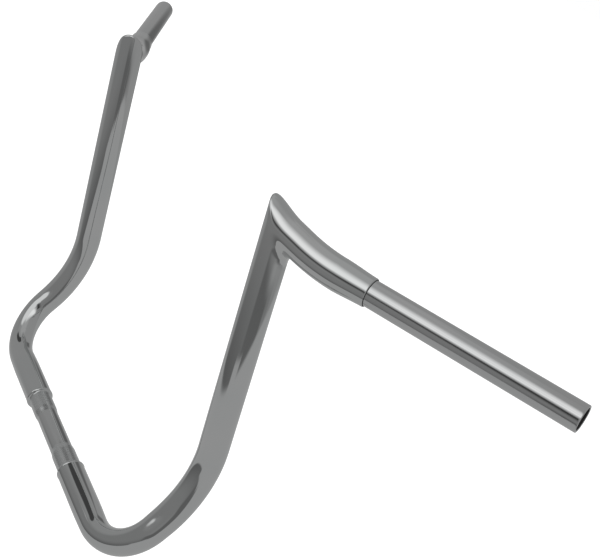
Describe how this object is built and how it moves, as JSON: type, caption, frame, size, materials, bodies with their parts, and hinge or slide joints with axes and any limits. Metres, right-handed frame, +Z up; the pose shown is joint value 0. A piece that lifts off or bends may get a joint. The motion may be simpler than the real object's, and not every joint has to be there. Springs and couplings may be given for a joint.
{
  "type": "motorcycle handlebar",
  "caption": "Tall chromed motorcycle handlebar: a straight clamp section, fat risers that lean back, sharp mitred corners, curved elbows and slim open-ended grip tubes.",
  "frame": {"origin": "middle of the clamp section, on the axis of the middle tube", "axes": "+X to the rider's right along the middle tube, +Y forward away from the rider, +Z up along the risers' legs"},
  "size_m": [0.9534, 0.2596, 0.4437],
  "materials": {
    "chrome": "polished and chromed after welding",
    "collar_chrome": "chromed over turned steel, slightly duller",
    "grip_chrome": "chromed, with fine lengthwise polishing lines"
  },
  "bodies": {
    "root": {"clamp_tube": "collar_chrome", "right_step_collar": "collar_chrome", "left_step_collar": "collar_chrome", "right_weld_ring": "collar_chrome", "left_weld_ring": "collar_chrome", "right_riser": "chrome", "left_riser": "chrome", "right_elbow": "chrome", "left_elbow": "chrome", "right_mitre_bead": "chrome", "left_mitre_bead": "chrome", "right_grip_tube": "grip_chrome", "left_grip_tube": "grip_chrome"}
  },
  "joints": []
}
